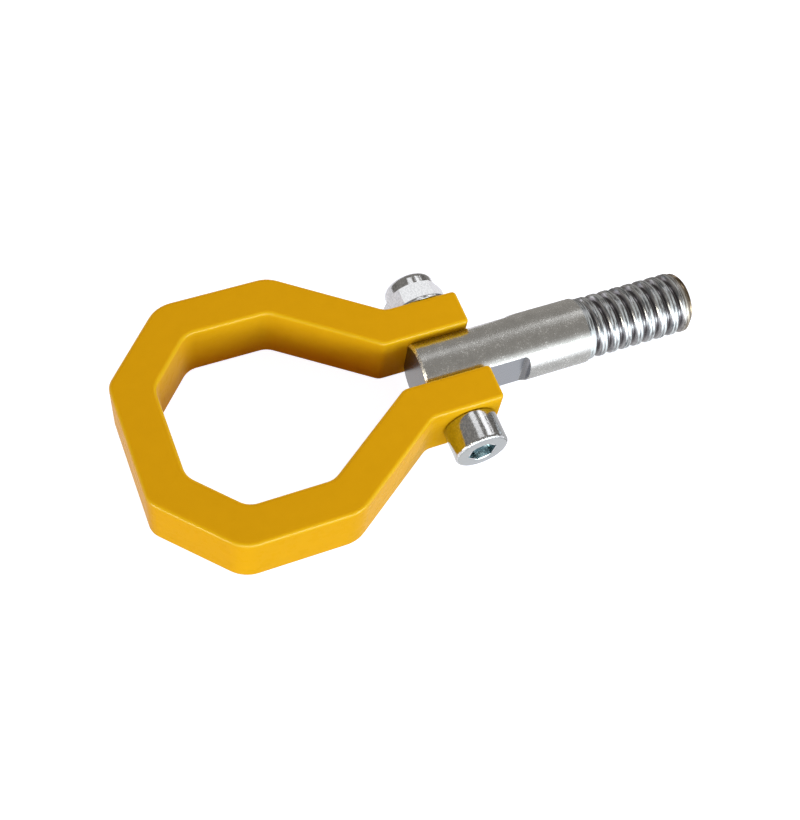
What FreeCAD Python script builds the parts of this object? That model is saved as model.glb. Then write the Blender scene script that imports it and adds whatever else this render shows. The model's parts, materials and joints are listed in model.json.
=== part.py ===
"""A folding tow eye: a cast loop that swings on a cap screw through the flattened end of a threaded shank."""
import FreeCAD, Part
import math
import os

Vector = FreeCAD.Vector

# The model is built about the hinge axis. X runs along the shank towards its thread, Y runs along the
# hinge screw towards its nut, and Z is up. Lengths are in millimetres and angles in degrees.
ALONG = Vector(1, 0, 0)
ACROSS = Vector(0, 1, 0)
UP = Vector(0, 0, 1)

# Turned shank, with two flats milled on its front end
shank_diameter = 16.0
shank_reach = 34.75
nose_reach = 7.6
nose_chamfer = 0.6
tongue_thickness = 11.6
tongue_reach = 18.7
tongue_root_radius = 1.1

# Coarse rounded thread that screws into the car
thread_diameter = 15.2
thread_length = 28.6
thread_pitch = 3.25
thread_depth = 0.85
thread_root_width = 0.65
crest_width = 0.6
crest_shoulder_width = 1.7
crest_shoulder_drop = 0.2
first_crest = 1.8
runout_diameter = 15.1
runout_collar = 1.6
runout_length = 2.6
tip_chamfer = 1.2

# Cap screw that is the hinge pin
screw_diameter = 8.0
screw_tip_chamfer = 0.8
head_diameter = 13.0
head_height = 8.0
head_rounding = 0.8
socket_width = 6.0
socket_depth = 4.2
socket_turn = 12.0
hinge_clearance = 0.08

# Flanged lock nut with a nylon ring crimped into its collar
nut_width = 13.0
nut_height = 9.2
nut_turn = 24.0
nut_hex_height = 5.8
flange_diameter = 16.4
flange_edge = 0.7
flange_slope = 25.0
collar_diameter = 12.4
collar_wall = 1.0
collar_rounding = 1.6
collar_opening = 9.6
lip_thickness = 0.8
insert_height = 2.2
insert_clearance = 0.03
thread_clearance = 0.05
screw_stickout = 0.4

# Loop with two ears, all one casting
loop_thickness = 16.5
loop_width = 63.6
loop_end_width = 30.2
band_width = 9.6
neck_angle = 35.6
end_angle = 46.6
ear_thickness = 9.2
ear_reach = 7.75
ear_tip_radius = 1.1
ear_clearance = 0.2
ear_hole_clearance = 0.2
neck_reach = 10.0
swing_clearance = 2.3
side_corner_radius = 8.0
end_corner_radius = 4.5
inner_corner_radius = 5.0
neck_outer_radius = 4.0
neck_inner_radius = 3.0
edge_radius = 1.0

# Sizes that follow from those above
shank_radius = shank_diameter / 2
thread_radius = thread_diameter / 2
core_radius = thread_radius - thread_depth
tip_reach = shank_reach + thread_length
ear_inner = tongue_thickness / 2 + ear_clearance
ear_outer = ear_inner + ear_thickness
screw_length = 2 * ear_outer + nut_height + screw_stickout
loop_reach = math.hypot(tip_reach, thread_radius - tip_chamfer) + swing_clearance + band_width


def cylinder(diameter, start, length, direction):
    """A rod of the given diameter, from start along direction."""
    return Part.makeCylinder(diameter / 2, length, start, direction)


def hexagon_prism(width, turn, start, length):
    """A hexagonal bar along Y, width across its flats, turned about its axis."""
    corner = width / math.sqrt(3)
    angles = [math.radians(turn + 60 * i) for i in range(7)]
    points = [Vector(corner * math.sin(a), start, corner * math.cos(a)) for a in angles]
    return Part.Face(Part.makePolygon(points)).extrude(ACROSS * length)


def turned(profile, axis):
    """A solid of revolution; profile lists (along, radius) pairs, and axis is a unit vector."""
    outward = ALONG if axis == UP else UP
    points = [axis * along + outward * radius for along, radius in profile]
    return Part.Face(Part.makePolygon(points + points[:1])).revolve(Vector(), axis, 360)


def corner_of(edge_a, edge_b):
    """Where two straight edges meet; each is (the direction it faces, its distance from the hinge)."""
    (a, p), (b, q) = edge_a, edge_b
    a, b = math.radians(a), math.radians(b)
    x = (p * math.sin(b) - q * math.sin(a)) / math.sin(b - a)
    y = (q * math.cos(a) - p * math.cos(b)) / math.sin(b - a)
    return x, y


def distance(facing, x, y):
    """How far from the hinge an edge lies that faces one way and passes through a point."""
    return x * math.cos(math.radians(facing)) + y * math.sin(math.radians(facing))


def loop_edges(inset):
    """The neck, side, end corner and end of the loop's outline, moved in by inset."""
    neck = 90 - neck_angle
    corner = 90 + end_angle
    return [
        (neck, distance(neck, -neck_reach, ear_outer) - inset),
        (90, loop_width / 2 - inset),
        (corner, distance(corner, -loop_reach, loop_end_width / 2) - inset),
        (180, loop_reach - inset),
    ]


def half_outline(inset, ear_side):
    """Corner points of one side of the loop, from the ear's tip round to the far end."""
    edges = [(90, ear_side)] + loop_edges(inset)
    bends = [corner_of(a, b) for a, b in zip(edges, edges[1:])]
    return [(ear_reach, ear_side)] + bends


def fillet_uprights(solid, places, radius):
    """Rounds the upright edges that stand at the given places."""
    chosen = []
    for edge in solid.Edges:
        middle = edge.CenterOfMass
        upright = abs(edge.tangentAt(edge.FirstParameter).z) > 0.999
        if upright and any(math.hypot(middle.x - x, middle.y - y) < 0.01 for x, y in places):
            chosen.append(edge)
    return solid.makeFillet(radius, chosen)


def both_sides(points):
    """The points and their mirror images across the shank's axis."""
    return points + [(x, -y) for x, y in points]


def make_loop():
    """The loop: one band bent into an open octagon, whose ends are the two ears."""
    outer = half_outline(0, ear_outer)
    inner = half_outline(band_width, ear_inner)
    around = outer + [(x, -y) for x, y in reversed(outer)] + [(x, -y) for x, y in inner] + inner[::-1]
    points = [Vector(x, y, -loop_thickness / 2) for x, y in around]
    loop = Part.Face(Part.makePolygon(points + points[:1])).extrude(UP * loop_thickness)
    loop = fillet_uprights(loop, both_sides(outer[2:4]), side_corner_radius)
    loop = fillet_uprights(loop, both_sides(outer[4:]), end_corner_radius)
    loop = fillet_uprights(loop, both_sides(inner[2:]), inner_corner_radius)
    loop = fillet_uprights(loop, both_sides(outer[1:2]), neck_outer_radius)
    loop = fillet_uprights(loop, both_sides(inner[1:2]), neck_inner_radius)
    loop = fillet_uprights(loop, both_sides(outer[:1] + inner[:1]), ear_tip_radius)
    loop = loop.makeFillet(edge_radius, [edge for edge in loop.Edges if edge.BoundBox.ZLength < 0.01])
    hole = screw_diameter + 2 * ear_hole_clearance
    return loop.cut(cylinder(hole, ACROSS * -ear_outer, 2 * ear_outer, ACROSS))


def make_shank():
    """The shank: a turned bar with a flattened, drilled end and a rolled thread."""
    nose = shank_radius - nose_chamfer
    shank = turned([(-nose_reach, 0), (-nose_reach, nose), (-nose_reach + nose_chamfer, shank_radius),
                    (shank_reach, shank_radius), (shank_reach, 0)], ALONG)
    for side in (-1, 1):
        shank = shank.cut(flat_cutter(side))
    hole = screw_diameter + 2 * hinge_clearance
    shank = shank.cut(cylinder(hole, ACROSS * -shank_radius, shank_diameter, ACROSS))
    thread = make_thread()
    thread.rotate(Vector(), ACROSS, 90)
    thread.translate(ALONG * shank_reach)
    return shank.fuse(thread)


def flat_cutter(side):
    """The block that mills one flat of the tongue, with a rounded inner corner."""
    depth = shank_radius
    start = tongue_thickness / 2
    block = Part.makeBox(nose_reach + tongue_reach + 1, depth, 2 * shank_diameter,
                         Vector(-nose_reach - 1, start, -shank_diameter))
    root = [edge for edge in block.Edges
            if abs(edge.CenterOfMass.x - tongue_reach) < 0.01 and abs(edge.CenterOfMass.y - start) < 0.01]
    block = block.makeFillet(tongue_root_radius, root)
    if side < 0:
        block = block.mirror(Vector(), ACROSS)
    return block


def make_thread():
    """The threaded end, standing along Z on its shoulder: core, ridge, run-out and chamfered tip."""
    overshoot = 1.0
    tip = thread_radius - tip_chamfer
    core = Part.makeCylinder(core_radius, thread_length + thread_pitch)
    blank = turned([(0, 0), (0, thread_radius + overshoot),
                    (thread_length - tip_chamfer - overshoot, thread_radius + overshoot),
                    (thread_length, tip), (thread_length, 0)], UP)
    thread = core.fuse(thread_ridge()).common(blank)
    runout = turned([(0, 0), (0, runout_diameter / 2), (runout_collar, runout_diameter / 2),
                     (runout_length, core_radius - 0.1), (runout_length, 0)], UP)
    return thread.fuse(runout)


def thread_ridge():
    """The ridge that winds round the core, one round-shouldered section swept along a helix."""
    sunk = 0.3
    start = first_crest - thread_pitch
    shoulder = thread_radius - crest_shoulder_drop
    base_width = thread_pitch - thread_root_width
    flare = (base_width - crest_shoulder_width) / (shoulder - core_radius)
    half = [(core_radius - sunk, (base_width + flare * sunk) / 2), (shoulder, crest_shoulder_width / 2),
            (thread_radius, crest_width / 2)]
    section = [Vector(r, 0, -z) for r, z in half] + [Vector(r, 0, z) for r, z in reversed(half)]
    helix = Part.makeHelix(thread_pitch, thread_length - start + thread_pitch / 2, thread_radius)
    ridge = Part.Wire(helix).makePipeShell([Part.makePolygon(section + section[:1])], True, True)
    ridge.translate(UP * start)
    return ridge


def make_screw():
    """The socket-head cap screw, head on the near ear and end in the nut."""
    under_head = -ear_outer
    top = under_head - head_height
    end = under_head + screw_length
    radius = screw_diameter / 2
    head = cylinder(head_diameter, ACROSS * top, head_height, ACROSS)
    rim = [edge for edge in head.Edges if edge.BoundBox.YMax < top + 0.01]
    head = head.makeFillet(head_rounding, rim)
    shaft = turned([(under_head, 0), (under_head, radius), (end - screw_tip_chamfer, radius),
                    (end, radius - screw_tip_chamfer), (end, 0)], ACROSS)
    socket = hexagon_prism(socket_width, socket_turn, top, socket_depth)
    bottom = top + socket_depth
    drill = socket_width / 2
    cone = turned([(bottom, 0), (bottom, drill), (bottom + drill * math.tan(math.radians(30)), 0)], ACROSS)
    return head.fuse(shaft).cut(socket).cut(cone).removeSplitter()


def make_nut():
    """The flanged nut, seated on the far ear, with a pocket for its nylon ring."""
    seat = ear_outer
    hex_top = seat + nut_hex_height
    top = seat + nut_height
    corner = nut_width / math.sqrt(3)
    flat = nut_width / 2
    flange = flange_diameter / 2
    slope_top = seat + flange_edge + (flange - flat) * math.tan(math.radians(flange_slope))
    chamfer = (corner - flat) * math.tan(math.radians(30))
    base = turned([(seat, 0), (seat, flange), (seat + flange_edge, flange), (slope_top, flat),
                   (slope_top, 0)], ACROSS)
    envelope = turned([(seat, 0), (seat, corner + 1), (hex_top - chamfer, corner), (hex_top, flat - 0.1),
                       (hex_top, 0)], ACROSS)
    body = hexagon_prism(nut_width, nut_turn, seat, nut_hex_height).common(envelope)
    collar = cylinder(collar_diameter, ACROSS * (seat + flange_edge), nut_height - flange_edge, ACROSS)
    crown = [edge for edge in collar.Edges if edge.BoundBox.YMin > top - 0.01]
    collar = collar.makeFillet(collar_rounding, crown)
    bore = cylinder(screw_diameter + 2 * thread_clearance, ACROSS * seat, nut_height, ACROSS)
    pocket_top = top - lip_thickness
    pocket = cylinder(collar_diameter - 2 * collar_wall, ACROSS * (pocket_top - insert_height),
                      insert_height, ACROSS)
    mouth = cylinder(collar_opening, ACROSS * (pocket_top - 0.1), lip_thickness + 0.1, ACROSS)
    return base.fuse([body, collar]).cut(bore).cut(pocket).cut(mouth).removeSplitter()


def make_insert():
    """The nylon ring that grips the screw's end, trapped under the collar's lip."""
    top = ear_outer + nut_height - lip_thickness - insert_clearance
    height = insert_height - 2 * insert_clearance
    outside = collar_diameter - 2 * collar_wall - 2 * insert_clearance
    inside = screw_diameter + 2 * thread_clearance
    start = ACROSS * (top - height)
    return cylinder(outside, start, height, ACROSS).cut(cylinder(inside, start, height, ACROSS))


def main():
    parts = {
        "tow_shank": make_shank(),
        "tow_loop": make_loop(),
        "hinge_screw": make_screw(),
        "lock_nut": make_nut(),
        "nylon_insert": make_insert(),
    }
    os.makedirs("parts", exist_ok=True)
    for name, shape in parts.items():
        # The finished part has its origin on the thread's axis, at the thread's shoulder.
        shape.translate(ALONG * -shank_reach)
        shape.exportStep(f"parts/{name}.step")
        print(name, "valid" if shape.isValid() else "not valid", len(shape.Solids), round(shape.Volume, 1))


main()
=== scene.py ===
# %% [markdown]
# # A folding tow eye
# The object is a yellow cast loop with two ears. A cap screw passes through the ears and through the
# flattened end of a steel shank, so the loop can swing. The shank's thread screws into a car.
# The solids come from a CAD model in which every size is real. This lesson dresses them: it turns the
# shank, the screw and the nut again with finer edges, gives every piece its finish, and lights them.

# %% Load the CAD solids
import json
import math

import bpy
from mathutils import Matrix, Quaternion, Vector


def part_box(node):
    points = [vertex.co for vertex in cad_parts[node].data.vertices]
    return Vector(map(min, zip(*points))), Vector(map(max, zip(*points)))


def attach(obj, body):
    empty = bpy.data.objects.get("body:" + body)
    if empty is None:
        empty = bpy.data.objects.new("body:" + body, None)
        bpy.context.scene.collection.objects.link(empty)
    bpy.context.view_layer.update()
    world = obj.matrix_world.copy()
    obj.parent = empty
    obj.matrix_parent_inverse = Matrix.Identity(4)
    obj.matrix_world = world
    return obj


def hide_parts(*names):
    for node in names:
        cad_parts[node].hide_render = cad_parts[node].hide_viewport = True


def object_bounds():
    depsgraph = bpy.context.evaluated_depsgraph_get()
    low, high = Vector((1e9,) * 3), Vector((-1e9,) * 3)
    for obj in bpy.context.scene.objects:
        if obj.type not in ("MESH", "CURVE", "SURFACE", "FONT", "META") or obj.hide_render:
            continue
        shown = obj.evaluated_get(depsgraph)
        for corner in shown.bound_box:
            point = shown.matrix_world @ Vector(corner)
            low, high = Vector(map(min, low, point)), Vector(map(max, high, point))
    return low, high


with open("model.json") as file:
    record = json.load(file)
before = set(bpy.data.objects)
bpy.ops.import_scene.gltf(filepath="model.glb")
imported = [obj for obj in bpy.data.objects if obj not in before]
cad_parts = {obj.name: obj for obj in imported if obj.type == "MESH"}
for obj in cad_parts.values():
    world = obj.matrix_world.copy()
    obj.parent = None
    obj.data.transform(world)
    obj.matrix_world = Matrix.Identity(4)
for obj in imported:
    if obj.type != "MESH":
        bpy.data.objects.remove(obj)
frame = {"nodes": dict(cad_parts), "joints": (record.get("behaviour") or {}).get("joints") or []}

MM = 0.001
cad_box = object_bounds()
hinge_x = frame["joints"][0]["pos_m"][0]
print("nodes:", sorted(frame["nodes"]), "hinge at x =", hinge_x)

# %% [markdown]
# ## Tools of the workshop
# Most of this object is turned on a lathe, so the main tool is a profile that is drawn point by point
# and spun round an axis. The other tools cut one solid with another, join them, and break sharp edges,
# because no real edge is perfectly sharp and the thin highlight along it is what makes metal look real.

# %% Draw a profile and spin it
AXES = {"X": Vector((1, 0, 0)), "Y": Vector((0, 1, 0))}
UP = Vector((0, 0, 1))
HINGE = Vector((hinge_x, 0, 0))
SAME_POINT = 0.001 * MM


def pick(piece):
    """Makes one piece the only one selected."""
    bpy.ops.object.select_all(action="DESELECT")
    piece.select_set(True)
    bpy.context.view_layer.objects.active = piece


def edit(piece):
    """Picks a piece and opens it in edit mode with everything selected."""
    pick(piece)
    bpy.ops.object.mode_set(mode="EDIT")
    bpy.ops.mesh.select_all(action="SELECT")


def close():
    """Merges doubled points, turns every face outwards and leaves edit mode."""
    bpy.ops.mesh.select_all(action="SELECT")
    bpy.ops.mesh.remove_doubles(threshold=SAME_POINT)
    bpy.ops.mesh.normals_make_consistent(inside=False)
    bpy.ops.object.mode_set(mode="OBJECT")


def draw_profile(name, points):
    """A line of points, each extruded from the one before."""
    bpy.ops.mesh.primitive_plane_add(size=MM)
    piece = bpy.context.object
    piece.name = name
    edit(piece)
    bpy.ops.mesh.merge(type="CENTER")
    bpy.ops.transform.translate(value=points[0])
    for start, end in zip(points, points[1:]):
        bpy.ops.mesh.extrude_region_move(TRANSFORM_OT_translate={"value": end - start})
    bpy.ops.object.mode_set(mode="OBJECT")
    return piece


def turn(name, axis, centre, profile, steps=128):
    """A turned piece; profile lists (place along the axis, radius) pairs in metres."""
    points = [centre + AXES[axis] * along + UP * radius for along, radius in profile]
    piece = draw_profile(name, points)
    edit(piece)
    bpy.ops.mesh.spin(steps=steps, angle=math.tau, center=centre, axis=AXES[axis])
    close()
    return piece


def arc(centre, radius, start, end, steps=6):
    """Points on an arc in a profile, from one angle to another, in degrees from the axis's direction."""
    angles = [math.radians(start + (end - start) * i / steps) for i in range(steps + 1)]
    return [(centre[0] + radius * math.cos(a), centre[1] + radius * math.sin(a)) for a in angles]


# %% Cut, join and soften
SHARP_ABOVE = math.radians(25)
SMOOTH_BELOW = math.radians(40)


def apply(piece, modifier):
    """Applies a modifier, so that the mesh itself has its shape."""
    pick(piece)
    bpy.ops.object.modifier_apply(modifier=modifier.name)


def combine(piece, tool, operation):
    """Cuts the tool away from a piece, joins the two or keeps what they share, and merges doubled points."""
    boolean = piece.modifiers.new(operation, "BOOLEAN")
    boolean.operation = operation
    boolean.solver = "EXACT"
    boolean.object = tool
    apply(piece, boolean)
    bpy.data.objects.remove(tool)
    edit(piece)
    close()


def soften(piece, width, segments=3):
    """Breaks every sharp edge with a small round and evens the shading of the flats beside it."""
    bevel = piece.modifiers.new("edge break", "BEVEL")
    bevel.width = width
    bevel.segments = segments
    bevel.limit_method = "ANGLE"
    bevel.angle_limit = SHARP_ABOVE
    apply(piece, bevel)
    bpy.ops.object.shade_smooth_by_angle(angle=SMOOTH_BELOW)
    weighted = piece.modifiers.new("even shading", "WEIGHTED_NORMAL")
    weighted.keep_sharp = True
    apply(piece, weighted)


def hexagon(width, turned_by, low, high):
    """A six-sided bar about the hinge screw's axis, width across its flats, from low to high along Y."""
    bpy.ops.mesh.primitive_cylinder_add(
        vertices=6, radius=width / math.sqrt(3), depth=high - low,
        location=(hinge_x, (low + high) / 2, 0), rotation=(math.pi / 2, math.radians(turned_by), 0))
    bpy.ops.object.transform_apply(location=True, rotation=True, scale=True)
    return bpy.context.object


def finished(piece, body, slot, *nodes):
    """Says which body a piece moves with and which CAD nodes it stands for; the slot argument is not used."""
    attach(piece, body)
    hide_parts(*nodes)
    print(piece.name, len(piece.data.polygons), "faces")


# %% [markdown]
# ## The shank's plain end
# The shank is a bar turned to 16 mm, with a small chamfer on its nose. Two flats are milled on the end
# that goes between the ears, and the mill leaves a rounded corner where they stop. The bar is spun from
# its profile, and a cutter with one rounded edge is taken from each side, as on the milling machine.

# %% Turn the bar
shank_low, shank_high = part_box("tow_shank")
bar_radius = shank_high.z
nose = shank_low.x
nose_chamfer = 0.6 * MM

shank_bar = turn("shank_bar", "X", Vector((0, 0, 0)), [
    (nose, 0), (nose, bar_radius - nose_chamfer), (nose + nose_chamfer, bar_radius),
    (0, bar_radius), (0, 0)])
print("bar of radius", bar_radius, "m from x =", nose, "m to the shoulder at 0")

# %% Mill the flats
tongue_half = 5.8 * MM
tongue_end = hinge_x + 18.7 * MM
root_radius = 1.1 * MM
near = 0.01 * MM


def flat_cutter(side):
    """A block beside the bar whose inner edge is rounded like the mill's corner."""
    length = 2 * (tongue_end - nose)
    depth = bar_radius
    bpy.ops.mesh.primitive_cube_add(size=1, location=(
        tongue_end - length / 2, side * (tongue_half + depth / 2), 0))
    block = bpy.context.object
    block.scale = (length, depth, 4 * bar_radius)
    bpy.ops.object.transform_apply(location=True, rotation=True, scale=True)
    edit(block)
    bpy.ops.mesh.select_all(action="DESELECT")
    bpy.ops.object.mode_set(mode="OBJECT")
    for edge in block.data.edges:
        ends = [block.data.vertices[i].co for i in edge.vertices]
        edge.select = all(abs(end.x - tongue_end) < near and abs(end.y - side * tongue_half) < near
                          for end in ends)
    bpy.ops.object.mode_set(mode="EDIT")
    bpy.ops.mesh.bevel(offset=root_radius, segments=10, affect="EDGES")
    close()
    return block


for side in (-1, 1):
    combine(shank_bar, flat_cutter(side), "DIFFERENCE")
print("tongue of", 2 * tongue_half, "m between the flats")

# %% Drill the hinge hole and break the edges
screw_radius = 4.0 * MM
hole_radius = screw_radius + 0.08 * MM
drill = turn("drill", "Y", HINGE, [
    (-bar_radius, 0), (-bar_radius, hole_radius), (bar_radius, hole_radius), (bar_radius, 0)], steps=64)
combine(shank_bar, drill, "DIFFERENCE")
soften(shank_bar, 0.12 * MM)
finished(shank_bar, "shank", "shank_zinc", "tow_shank")

# %% [markdown]
# ## The rolled thread
# The thread was rolled, so its crests are round, with the shallow seam where the metal of both flanks
# met. Its valleys are 0.2 mm deeper here than in the CAD solid, which the photograph shows better. One
# pitch of the section is drawn as a line, and a Screw modifier winds that line along the shank. The
# first turn fades into a plain collar behind the shoulder and the last one is turned down to a chamfer:
# each point of the mesh is moved out to the collar or in to the chamfer, as on the lathe.

# %% Wind one pitch of the section
thread_radius = 7.6 * MM
core_radius = 6.55 * MM
pitch = 3.25 * MM
first_crest = 1.8 * MM
section_steps = 28
half_ridge = 0.45
seam_half = 0.085
seam_depth = 0.18


def thread_height(share):
    """How high the section stands at a share of the pitch from a crest, from 1 near it to 0 in the valley."""
    across = min(abs(share) / half_ridge, 1)
    seam = seam_depth * math.exp(-(share / seam_half) ** 2)
    return (1 - across ** 2.5) ** 0.9 - seam


def thread_section(start):
    """The points of one pitch, from valley to valley, in the plane below the axis."""
    points = []
    for i in range(section_steps + 1):
        share = i / section_steps - 0.5
        radius = core_radius + (thread_radius - core_radius) * thread_height(share)
        points.append(Vector((start + share * pitch, 0, -radius)))
    return points


shank_thread = draw_profile("shank_thread", thread_section(first_crest - 2 * pitch))
winding_turns = math.ceil(shank_high.x / pitch) + 3
winding = shank_thread.modifiers.new("winding", "SCREW")
winding.axis = "X"
winding.angle = math.tau
winding.screw_offset = pitch
winding.iterations = winding_turns
winding.steps = winding.render_steps = 96
apply(shank_thread, winding)
print(winding_turns, "turns of", pitch, "m wound")

# %% Cut it to length and turn its ends
plain_radius = thread_radius - 0.05 * MM
plain_end = 1.6 * MM
runout_end = 2.6 * MM
tip = shank_high.x
tip_chamfer = 1.2 * MM
hidden_root = -0.5 * MM


def smallest_radius(x):
    """The collar behind the shoulder, with the cone that it runs out in."""
    share = max(x - plain_end, 0) / (runout_end - plain_end)
    return plain_radius - (thread_radius - core_radius) * share


def largest_radius(x):
    """The chamfer at the thread's tip."""
    return thread_radius + min(tip - tip_chamfer - x, 0)


edit(shank_thread)
bpy.ops.mesh.remove_doubles(threshold=SAME_POINT)
bpy.ops.mesh.select_all(action="SELECT")
bpy.ops.mesh.bisect(plane_co=(hidden_root, 0, 0), plane_no=(1, 0, 0), use_fill=True, clear_inner=True,
                    threshold=SAME_POINT)
bpy.ops.mesh.select_all(action="SELECT")
bpy.ops.mesh.bisect(plane_co=(tip, 0, 0), plane_no=(1, 0, 0), use_fill=True, clear_outer=True,
                    threshold=SAME_POINT)
close()
for vertex in shank_thread.data.vertices:
    radius = math.hypot(vertex.co.y, vertex.co.z)
    wanted = min(max(radius, smallest_radius(vertex.co.x)), largest_radius(vertex.co.x))
    vertex.co.y *= wanted / radius
    vertex.co.z *= wanted / radius
bpy.ops.object.shade_smooth_by_angle(angle=math.radians(35))
finished(shank_thread, "shank", "shank_zinc", "tow_shank")

# %% [markdown]
# ## The cap screw
# The hinge pin is a socket-head cap screw: a drum of a head with a rounded rim, a hexagonal socket with
# a chamfered mouth and a conical bottom left by the drill, and a plain shaft. It is spun from one
# profile, and the socket is cut with a six-sided bar and a cone.

# %% Turn the screw and cut its socket
screw_low, screw_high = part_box("hinge_screw")
head_radius = screw_high.z
head_top = screw_low.y
head_height = 8.0 * MM
under_head = head_top + head_height
rim = 0.8 * MM
under_chamfer = 0.35 * MM
end_chamfer = 0.8 * MM

cap_screw = turn("cap_screw", "Y", HINGE, [(head_top, 0)]
                 + arc((head_top + rim, head_radius - rim), rim, 180, 90)
                 + [(under_head - under_chamfer, head_radius),
                    (under_head, head_radius - under_chamfer), (under_head, screw_radius),
                    (screw_high.y - end_chamfer, screw_radius),
                    (screw_high.y, screw_radius - end_chamfer), (screw_high.y, 0)])

socket_width = 6.0 * MM
socket_turn = 12
socket_depth = 4.2 * MM
socket_bottom = head_top + socket_depth
socket_corner = socket_width / math.sqrt(3)
combine(cap_screw, hexagon(socket_width, socket_turn, head_top - MM, socket_bottom), "DIFFERENCE")
mouth = 0.14 * MM
combine(cap_screw, turn("countersink", "Y", HINGE, [
    (head_top - mouth, 0), (head_top - mouth, socket_corner + mouth),
    (head_top + mouth, socket_corner - mouth), (head_top + mouth, 0)], steps=96), "DIFFERENCE")
drill_radius = socket_width / 2 - 0.05 * MM
drill_tip = socket_bottom + drill_radius * math.tan(math.radians(30))
combine(cap_screw, turn("drill_point", "Y", HINGE, [
    (socket_bottom - 0.2 * MM, 0), (socket_bottom - 0.2 * MM, drill_radius),
    (socket_bottom, drill_radius), (drill_tip, 0)], steps=96), "DIFFERENCE")
soften(cap_screw, 0.06 * MM, segments=2)
finished(cap_screw, "loop", "fastener_zinc", "hinge_screw")

# %% [markdown]
# ## The lock nut
# The nut on the far ear has a narrow flange, chamfered corners and a domed collar that is crimped over
# a nylon ring. The hexagon and the cone of its chamfer are made separately, and what they share is the
# body. The flange and the collar are turned and joined to it.

# %% Make the nut
nut_low, nut_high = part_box("lock_nut")
seat = nut_low.y
nut_top = nut_high.y
nut_width = 13.0 * MM
nut_corner = nut_width / math.sqrt(3)
nut_turn = 24
hex_top = seat + 5.8 * MM
flange_radius = nut_high.z
flange_edge = 0.7 * MM
flange_break = 0.2 * MM
chamfer = (nut_corner - nut_width / 2) * math.tan(math.radians(30))

nut = hexagon(nut_width, nut_turn, seat, hex_top)
nut.name = "flanged_nut"
combine(nut, turn("chamfer_cone", "Y", HINGE, [
    (seat, 0), (seat, nut_corner + MM), (hex_top - chamfer, nut_corner),
    (hex_top, nut_width / 2 - 0.1 * MM), (hex_top, 0)]), "INTERSECT")
slope = (flange_radius - nut_width / 2) * math.tan(math.radians(25))
combine(nut, turn("flange", "Y", HINGE, [
    (seat, 0), (seat, flange_radius - flange_break), (seat + flange_break, flange_radius),
    (seat + flange_edge, flange_radius), (seat + flange_edge + slope, nut_width / 2),
    (seat + flange_edge + slope, 0)]), "UNION")
collar_radius = 6.2 * MM
crown = 1.6 * MM
combine(nut, turn("collar", "Y", HINGE, [(seat + flange_edge, 0), (seat + flange_edge, collar_radius)]
                  + arc((nut_top - crown, collar_radius - crown), crown, 90, 0)
                  + [(nut_top, 0)]), "UNION")
bore = screw_radius + 0.05 * MM
ring_radius, ring_low, ring_high = 5.2 * MM, seat + 6.2 * MM, nut_top - 0.8 * MM
opening = 4.8 * MM
combine(nut, turn("bore", "Y", HINGE, [
    (seat - MM, 0), (seat - MM, bore), (ring_low, bore), (ring_low, ring_radius),
    (ring_high, ring_radius), (ring_high, opening), (nut_top + MM, opening), (nut_top + MM, 0)]),
    "DIFFERENCE")
soften(nut, 0.1 * MM, segments=2)
finished(nut, "loop", "fastener_zinc", "lock_nut")

# %% [markdown]
# ## Writing finishes
# A finish is a small network of shader nodes. To keep it readable, a number that varies over the
# surface is wrapped in a class whose arithmetic adds the Math nodes, so a mask can be written as
# `1 - worn`. Everything else goes through one method that adds any node. All patterns read Object
# coordinates, so they stay on the piece when it moves.

# %% A number that varies over a surface
class Amount:
    """A node's numeric output; arithmetic and comparison on it add Math nodes."""

    def __init__(self, network, socket):
        self.network = network
        self.socket = socket

    def __add__(self, other):
        return self.network.math("ADD", self, other)

    def __rsub__(self, other):
        return self.network.math("SUBTRACT", other, self)

    def __mul__(self, other):
        return self.network.math("MULTIPLY", self, other)

    def __gt__(self, other):
        return self.network.math("GREATER_THAN", self, other)

    def __lt__(self, other):
        return self.network.math("LESS_THAN", self, other)

    __radd__ = __add__
    __rmul__ = __mul__


# %% A network of nodes
class Network:
    """A tree of shader nodes that is added to one call at a time."""

    def __init__(self, tree):
        self.tree = tree

    def node(self, kind, settings, inputs, output=0):
        """Adds a node; its settings are set first, then each input gets its value or link."""
        new = self.tree.nodes.new(kind)
        for name, value in settings.items():
            if name == "stops":
                self.set_stops(new.color_ramp, value)
            else:
                setattr(new, name, value)
        for socket, value in inputs.items():
            self.feed(new.inputs[socket], value)
        return Amount(self, new.outputs[output])

    def set_stops(self, ramp, stops):
        """Gives a colour ramp its (position, colour) stops."""
        while len(ramp.elements) < len(stops):
            ramp.elements.new(0.5)
        for element, (position, colour) in zip(ramp.elements, stops):
            element.position = position
            element.color = (*colour, 1)

    def feed(self, socket, value):
        """Links an Amount to a socket, or sets a plain value on it."""
        if isinstance(value, Amount):
            self.tree.links.new(value.socket, socket)
        elif isinstance(value, tuple) and socket.type == "RGBA":
            socket.default_value = (*value, 1)
        else:
            socket.default_value = value

    def math(self, operation, first, second=0.0):
        """Adds a Math node."""
        return self.node("ShaderNodeMath", {"operation": operation}, {0: first, 1: second})

    def seen(self):
        """1 for what the camera or a reflection sees, 0 for light on its way to a dull surface."""
        camera, glossy, transmission = [
            self.node("ShaderNodeLightPath", {}, {}, output=f"Is {kind} Ray")
            for kind in ("Camera", "Glossy", "Transmission")]
        return self.math("MAXIMUM", camera, self.math("MAXIMUM", glossy, transmission))


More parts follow.
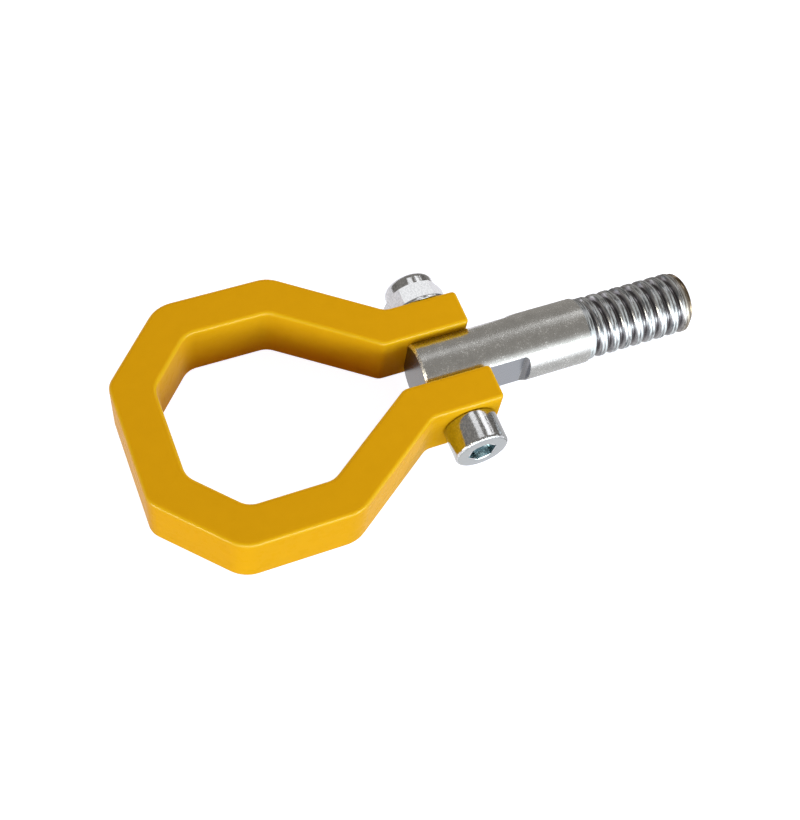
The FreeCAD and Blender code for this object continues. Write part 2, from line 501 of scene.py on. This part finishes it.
# %% A finish
class Finish(Network):
    """A material with one surface shader, and the patterns that this object needs."""

    def __init__(self, name, constants):
        self.material = bpy.data.materials.new(name)
        self.material.use_nodes = True
        super().__init__(self.material.node_tree)
        self.surface = self.tree.nodes["Principled BSDF"]
        for socket, value in constants.items():
            self.feed(self.surface.inputs[socket], value)
        self.place = self.node("ShaderNodeTexCoord", {}, {}, output="Object")

    def stretched(self, scale, centre=(0, 0, 0)):
        """The place on the object, measured from a centre and scaled along each axis."""
        moved = self.node("ShaderNodeVectorMath", {"operation": "SUBTRACT"}, {0: self.place, 1: centre})
        return self.node("ShaderNodeVectorMath", {"operation": "MULTIPLY"}, {0: moved, 1: scale})

    def noise(self, size, detail=2, roughness=0.5, scale=(1, 1, 1)):
        """Soft random spots of about the given size in metres."""
        return self.node("ShaderNodeTexNoise", {}, {
            "Vector": self.stretched(scale), "Scale": 1 / size, "Detail": detail, "Roughness": roughness})

    def along(self, axis):
        """The place along one of the object's axes, in metres."""
        return self.node("ShaderNodeSeparateXYZ", {}, {"Vector": self.place}, output=axis)

    def radius(self, across, centre=(0, 0, 0)):
        """The distance from an axis; across has a 1 for each direction square to it."""
        return self.node("ShaderNodeVectorMath", {"operation": "LENGTH"},
                         {0: self.stretched(across, centre)}, output="Value")

    def rise(self, amount, low, high):
        """Goes smoothly from 0 to 1 as the amount goes from low to high."""
        return self.node("ShaderNodeMapRange", {"interpolation_type": "SMOOTHSTEP"}, {
            "Value": amount, "From Min": low, "From Max": high})

    def blend(self, share, first, second):
        """A colour between two colours."""
        return self.node("ShaderNodeMix", {"data_type": "RGBA"}, {0: share, 6: first, 7: second}, output=2)

    def bumps(self, height, depth, under=None):
        """Raises the surface by a height from 0 to 1 times the depth in metres."""
        inputs = {"Height": height, "Distance": depth}
        if under is not None:
            inputs["Normal"] = under
        return self.node("ShaderNodeBump", {}, inputs)

    def use(self, **links):
        """Feeds the surface shader; Base_Color stands for Base Color."""
        for name, amount in links.items():
            self.feed(self.surface.inputs[name.replace("_", " ")], amount)

    def cover(self, shader):
        """Shows another shader in place of the surface shader."""
        self.feed(self.tree.nodes["Material Output"].inputs["Surface"], shader)


def wear(piece, finish):
    """Gives a piece its finish in place of every material that it had."""
    piece.data.materials.clear()
    piece.data.materials.append(finish.material)


# %% [markdown]
# ## Yellow powder coat on the loop
# The loop is cast and powder coated in a golden yellow. The coat's faces are nearly dull, with a faint
# orange peel and the slow waves of the casting under it. On the rounded edges, where the powder melts
# smoothest, it has a gloss, so the light in front draws a thin bright line; there the base colour is also
# painted a little yellower and lighter, as a painted highlight.

# %% Mix the powder coat
edge_radius = 1.0 * MM
coat = Finish("yellow_powder_coat", {"Specular IOR Level": 0.005, "Coat Roughness": 0.10})
peel = coat.noise(1.1 * MM, detail=1)
waves = coat.noise(9 * MM, detail=2)
mottle = coat.noise(3 * MM, detail=4, roughness=0.6)
half_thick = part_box("tow_loop")[1].z
from_face = half_thick - coat.math("ABSOLUTE", coat.along("Z"))
gloss_and_painted_highlight_edge = coat.rise(from_face, 0.03 * edge_radius, 0.15 * edge_radius) * (
    1 - coat.rise(from_face, 0.6 * edge_radius, 0.9 * edge_radius))
faces = coat.blend(mottle, (0.61, 0.348, 0.005), (0.66, 0.378, 0.006))
# The lighter, yellower base colour on the edges is a painted highlight; the coat weight there is a real
# gloss.
coat.use(
    Base_Color=coat.blend(0.8 * gloss_and_painted_highlight_edge, faces, (0.66, 0.43, 0.004)),
    Roughness=0.22 + 0.12 * mottle,
    Coat_Weight=0.48 * gloss_and_painted_highlight_edge,
    Normal=coat.bumps(peel, 0.012 * MM, coat.bumps(waves, 0.08 * MM)))
frame["nodes"]["tow_loop"].material_slots[0].material = coat.material
print("gloss on the outer", edge_radius, "m of the loop's", 2 * half_thick, "m")

# %% [markdown]
# ## Zinc on the shank
# The bar is zinc plated over a turned surface. The plating is satin and a little cloudy, and its
# crystals show as bright specks. Every milled or faced flat is smoother, bluer and darker, and the
# corner that the mill leaves gets painted shade, a darker colour still.

# %% Plate the bar
zinc = Finish("satin_zinc", {"Metallic": 1.0})
crystals = zinc.noise(0.40 * MM, detail=2, roughness=0.7)
patches = zinc.noise(2.5 * MM, detail=3, roughness=0.6)
across = zinc.along("X")
skin = 0.02 * MM
on_nose = across < nose + skin
on_flat = zinc.math("MAXIMUM", on_nose, (
    zinc.math("ABSOLUTE", zinc.along("Y")) > tongue_half - skin) * (across < tongue_end - root_radius))
# Painted shade: the corner that the mill leaves is darkened in the base colour.
root_painted_shade = zinc.rise(across, tongue_end - 1.1 * root_radius, tongue_end - 0.8 * root_radius) * (
    across < tongue_end + 0.05 * MM) * (zinc.radius((0, 1, 1)) < bar_radius - 0.15 * MM)
on_rim = (across < nose + nose_chamfer) * (1 - on_nose)
specks = zinc.rise(crystals + 0.3 * patches + 0.2 * on_rim, 0.73, 0.86) * (1 - on_flat)
cloudy = zinc.blend(patches, (0.50, 0.50, 0.49), (0.70, 0.70, 0.69))
turned_zinc = zinc.blend(specks, cloudy, (0.92, 0.92, 0.91))
# Darker on the nose face, and painted shade in the mill's corner.
nose_dark_and_root_shade = zinc.math("MAXIMUM", 0.55 * root_painted_shade, 0.9 * on_nose)
milled_zinc_and_root_shade = zinc.blend(nose_dark_and_root_shade, (0.48, 0.50, 0.55), (0.13, 0.12, 0.11))
zinc.use(
    Base_Color=zinc.blend(zinc.math("MAXIMUM", on_flat, root_painted_shade), turned_zinc, milled_zinc_and_root_shade),
    Roughness=0.25 + 0.12 * specks,
    Normal=zinc.bumps(crystals * (1 - 0.9 * on_flat), 0.014 * MM))
wear(shank_bar, zinc)
print("flats to x =", tongue_end, "m, duller from", tongue_end - root_radius, "m")

# %% [markdown]
# ## Zinc on the thread, the screw and the nut
# Rolling drew fine lines round the thread. Its valleys are painted darker, as painted shade, and the
# two rims of each crest, beside the seam, are rougher and painted pale, as a painted highlight. The screw
# and the nut are polished harder and plated bright, the screw's head has small nicks on its rim, and oil
# from the works tints its socket green.

# %% Plate the thread
rolled_zinc = Finish("rolled_zinc", {"Metallic": 1.0})
lines = rolled_zinc.noise(0.45 * MM, detail=3, roughness=0.6, scale=(1, 0.12, 0.12))
tint = rolled_zinc.node("ShaderNodeValToRGB", {"stops": [
    (0.36, (0.20, 0.23, 0.25)), (0.5, (0.37, 0.36, 0.38)), (0.64, (0.60, 0.61, 0.62))]},
    {"Fac": lines})
grain = rolled_zinc.noise(0.5 * MM, detail=3, roughness=0.7)
from_axis = rolled_zinc.radius((0, 1, 1))
on_crest = rolled_zinc.rise(from_axis, core_radius + 0.1 * MM, thread_radius - 0.2 * MM)
# Painted shade: the valleys between the crests are darker.
rolled_with_painted_valley_shade = rolled_zinc.blend(on_crest, (0.21, 0.20, 0.21), tint)
# Painted highlight: the rims of each crest are paler, and also rougher.
rougher_rims_with_painted_highlight = rolled_zinc.rise(from_axis, thread_radius - 0.20 * MM, thread_radius - 0.08 * MM) * (
    rolled_zinc.rise(lines, 0.38, 0.56))
at_tip = rolled_zinc.rise(rolled_zinc.along("X"), tip - 3.4 * MM, tip - 0.7 * MM) * rolled_zinc.rise(
    from_axis, 4.5 * MM, thread_radius - tip_chamfer)
rolled_zinc.use(
    Base_Color=rolled_zinc.blend(
        at_tip, rolled_zinc.blend(rougher_rims_with_painted_highlight, rolled_with_painted_valley_shade, (0.62, 0.65, 0.67)), (0.30, 0.24, 0.17)),
    Roughness=0.14 + 0.20 * grain + 0.34 * rougher_rims_with_painted_highlight,
    Normal=rolled_zinc.bumps(lines, 0.05 * MM))
wear(shank_thread, rolled_zinc)
print("valleys at", core_radius, "m and crests at", thread_radius, "m from the axis")

# %% Plate the screw and the nut
fastener_zinc = Finish("fastener_zinc", {"Metallic": 1.0})
streaks = fastener_zinc.rise(
    fastener_zinc.noise(0.42 * MM, detail=3, scale=(1, 0.7, 1), roughness=0.7), 0.36, 0.64)
from_hinge = fastener_zinc.radius((1, 0, 1), centre=HINGE)
on_face = fastener_zinc.along("Y") < head_top + 0.1 * MM
on_head_rim = (fastener_zinc.along("Y") < head_top + 0.8 * rim) * (from_hinge > head_radius - rim)
nicks = fastener_zinc.rise(fastener_zinc.noise(0.4 * MM, detail=2), 0.48, 0.60) * on_head_rim
in_socket = (from_hinge < socket_corner) * (fastener_zinc.along("Y") > head_top + mouth) * (
    fastener_zinc.along("Y") < 0)
oily = fastener_zinc.blend(fastener_zinc.rise(fastener_zinc.noise(1.8 * MM, detail=2), 0.42, 0.58),
                           (0.30, 0.39, 0.42), (0.82, 0.89, 0.90))
plated = fastener_zinc.blend(streaks, (0.42, 0.425, 0.435), (0.565, 0.57, 0.58))
faced = fastener_zinc.blend(on_face, plated, (0.34, 0.355, 0.355))
fastener_zinc.use(
    Base_Color=fastener_zinc.blend(in_socket, faced, oily),
    Roughness=0.07 + 0.14 * streaks,
    Normal=fastener_zinc.bumps(streaks, 0.003 * MM, fastener_zinc.bumps(nicks, 0.03 * MM)))
wear(cap_screw, fastener_zinc)
wear(nut, fastener_zinc)
print("oil in the socket from y =", head_top + mouth, "m")

# %% Mould the nylon
nylon = Finish("natural_nylon", {})
flow = nylon.noise(1.5 * MM, detail=2)
nylon.use(Base_Color=nylon.blend(flow, (0.72, 0.74, 0.70), (0.82, 0.83, 0.80)),
          Roughness=0.40 + 0.12 * flow)
frame["nodes"]["nylon_insert"].material_slots[0].material = nylon.material
finishes = len(bpy.data.materials)
print(finishes, "finishes so far")

# %% [markdown]
# ## The floor and the white background
# The eye lies on its loop, which is a little thicker than the shank. The floor is white paper to the
# camera and in reflections, and lifted so that only the soft shadow is darker than white. The lift is a
# little blue, against the warm light of the world. What the floor throws back is brown, as if it came
# off the yellow walls round it, which keeps them a deep orange.

# %% Lay the floor
floor_z = cad_box[0][2]
bpy.ops.mesh.primitive_plane_add(size=6, location=(hinge_x, 0, floor_z))
floor = bpy.context.object
floor.name = "floor"
paper = Finish("white_paper", {})
bounced = paper.node("ShaderNodeBsdfDiffuse", {}, {"Color": (0.44, 0.165, 0.05)})
printed = paper.node("ShaderNodeBsdfDiffuse", {}, {"Color": (0.38, 0.42, 0.50)})
lift = paper.node("ShaderNodeEmission", {}, {"Color": (0.95, 0.96, 1.0), "Strength": 0.95})
shown = paper.node("ShaderNodeAddShader", {}, {0: printed, 1: lift})
paper.cover(paper.node("ShaderNodeMixShader", {}, {0: paper.seen(), 1: bounced, 2: shown}))
wear(floor, paper)
print("floor at z =", floor_z, "m, under the loop")

# %% Paint the world
world = bpy.data.worlds.new("studio")
bpy.context.scene.world = world
world.use_nodes = True
studio = Network(world.node_tree)
ambient = studio.node("ShaderNodeBackground", {}, {"Color": (1.0, 0.60, 0.30), "Strength": 0.37})
white = studio.node("ShaderNodeBackground", {}, {"Color": (1.0, 1.0, 1.0), "Strength": 1.0})
studio.feed(world.node_tree.nodes["World Output"].inputs["Surface"],
            studio.node("ShaderNodeMixShader", {}, {0: studio.seen(), 1: ambient, 2: white}))
print(len(world.node_tree.nodes), "nodes in the world")

# %% [markdown]
# ## Soft light, and a dim room for the metal to show
# The photograph was lit from above and from low in front: walls that face the front are brighter than
# the top, and the inner walls fade to brown. Five lamps do that, the one in front a little cooler and
# those at the left and above a little warmer than white. Polished metal shows whatever stands round it,
# and here that is a dim room with a few windows overhead and a bright screen in front. On the floor lie
# a dim card behind the shank and a paler strip right under it: a painted shadow of the shank, which the
# metal shows. Cards play these: only reflections see them, so they put no light on the loop.

# %% Place the lamps
def soft_lamp(name, place, width, height, power, colour=(1.0, 1.0, 1.0)):
    """A large rectangular lamp that points at the hinge."""
    bpy.ops.object.light_add(type="AREA", location=place)
    lamp = bpy.context.object
    lamp.name = name
    lamp.data.shape = "RECTANGLE"
    lamp.data.size, lamp.data.size_y = width, height
    lamp.data.energy = power
    lamp.data.color = colour
    lamp.rotation_euler = (HINGE - Vector(place)).to_track_quat("-Z", "Y").to_euler()
    return lamp


soft_lamp("front_lamp", (0.0, -0.75, 0.13), 1.3, 0.28, 7.2, (0.87, 1.0, 1.0))
soft_lamp("left_lamp", (-0.75, -0.30, 0.10), 0.4, 0.2, 2.6, (1.0, 0.97, 0.80))
right_lamp = soft_lamp("right_lamp", (0.30, -0.02, 0.22), 0.2, 0.2, 0.9)
back_lamp = soft_lamp("back_lamp", (-0.15, 0.75, 0.35), 0.5, 0.3, 2.6)
top_lamp = soft_lamp("top_lamp", (0.10, -0.10, 0.75), 0.6, 0.6, 0.55, (1.0, 0.88, 0.78))
for lamp in (right_lamp, back_lamp, top_lamp):
    lamp.visible_glossy = False
print(len(bpy.data.lights), "lamps of", sum(lamp.energy for lamp in bpy.data.lights), "W in all")

# %% Hang the cards
DIM = (1.0, 0.95, 0.88)
TURNED = {"X": (0, math.pi / 2, 0), "Y": (math.pi / 2, 0, 0), "Z": (0, 0, 0)}


def card(name, brightness, faces, low, high, colour=(1.0, 1.0, 1.0)):
    """A flat card between two corners, measured from the hinge, that only reflections see."""
    low, high = Vector(low), Vector(high)
    spans = high - low
    bpy.ops.mesh.primitive_plane_add(size=1, location=HINGE + (low + high) / 2, rotation=TURNED[faces])
    sheet = bpy.context.object
    sheet.name = name
    sheet.scale = {"X": (spans.z, spans.y, 1), "Y": (spans.x, spans.z, 1), "Z": (spans.x, spans.y, 1)}[faces]
    wear(sheet, Finish(name, {"Base Color": (0.0, 0.0, 0.0), "Specular IOR Level": 0.0,
                              "Emission Color": colour, "Emission Strength": brightness}))
    sheet.visible_camera = False
    sheet.visible_diffuse = False
    sheet.visible_shadow = False
    sheet.visible_transmission = False


left, right, front, back, top = -1.3, 1.6, -0.75, 1.7, 0.70
card("ceiling_card", 0.34, "Z", (left, front, top), (right, back, top), DIM)
card("back_card", 0.35, "Y", (left, back, floor_z), (right, back, top), DIM)
card("left_card", 0.28, "X", (left, front, floor_z), (left, back, top), DIM)
card("right_card", 0.24, "X", (right, front, floor_z), (right, back, top), DIM)
# Painted shadow of the shank on the floor, seen only in the metal: a dim card behind it and a paler one right
# under it.
shadow_card_level = floor_z + 0.3 * MM
card("shank_shadow_far_card", 0.38, "Z", (0.026, 0.012, shadow_card_level), (0.60, 1.20, shadow_card_level), DIM)
card("shade_card", 0.70, "Z", (0.012, -0.032, shadow_card_level), (0.60, 0.012, shadow_card_level))
card("screen_card", 1.8, "Y", (left, -1.1, floor_z), (right, -1.1, 0.55))
window_height = top - 0.01
card("middle_window", 1.75, "Z", (-0.08, 0.24, window_height), (0.18, 0.50, window_height))
card("right_window", 2.2, "Z", (0.42, 0.25, window_height), (0.82, 0.60, window_height))
card("far_window", 2.2, "Z", (1.02, 0.35, window_height), (1.18, 0.85, window_height))
print(len(bpy.data.materials) - finishes, "cards")

# %% [markdown]
# ## The camera
# The place, the aim and the roll were found by matching the model's corners to the photograph.

# %% Set the camera
camera_place = Vector((-0.1302, -0.1380, 0.2741))
camera_aim = Vector((-0.0427, -0.0154, 0))
camera_roll = math.radians(15.13)
image_width = 800
focal_pixels = 1363
sensor_width = 36
picture_shift = (-0.0475, 0.0288)

bpy.ops.object.camera_add(location=camera_place)
camera = bpy.context.object
facing = (camera_aim - camera_place).to_track_quat("-Z", "Y")
camera.rotation_euler = (facing @ Quaternion((0, 0, 1), camera_roll)).to_euler()
camera.data.sensor_fit = "HORIZONTAL"
camera.data.sensor_width = sensor_width
camera.data.lens = focal_pixels * sensor_width / image_width
camera.data.shift_x, camera.data.shift_y = picture_shift
bpy.context.scene.camera = camera
bpy.context.scene.view_settings.view_transform = "Standard"
print("lens of", camera.data.lens, "mm,", (camera_aim - camera_place).length, "m from its aim")
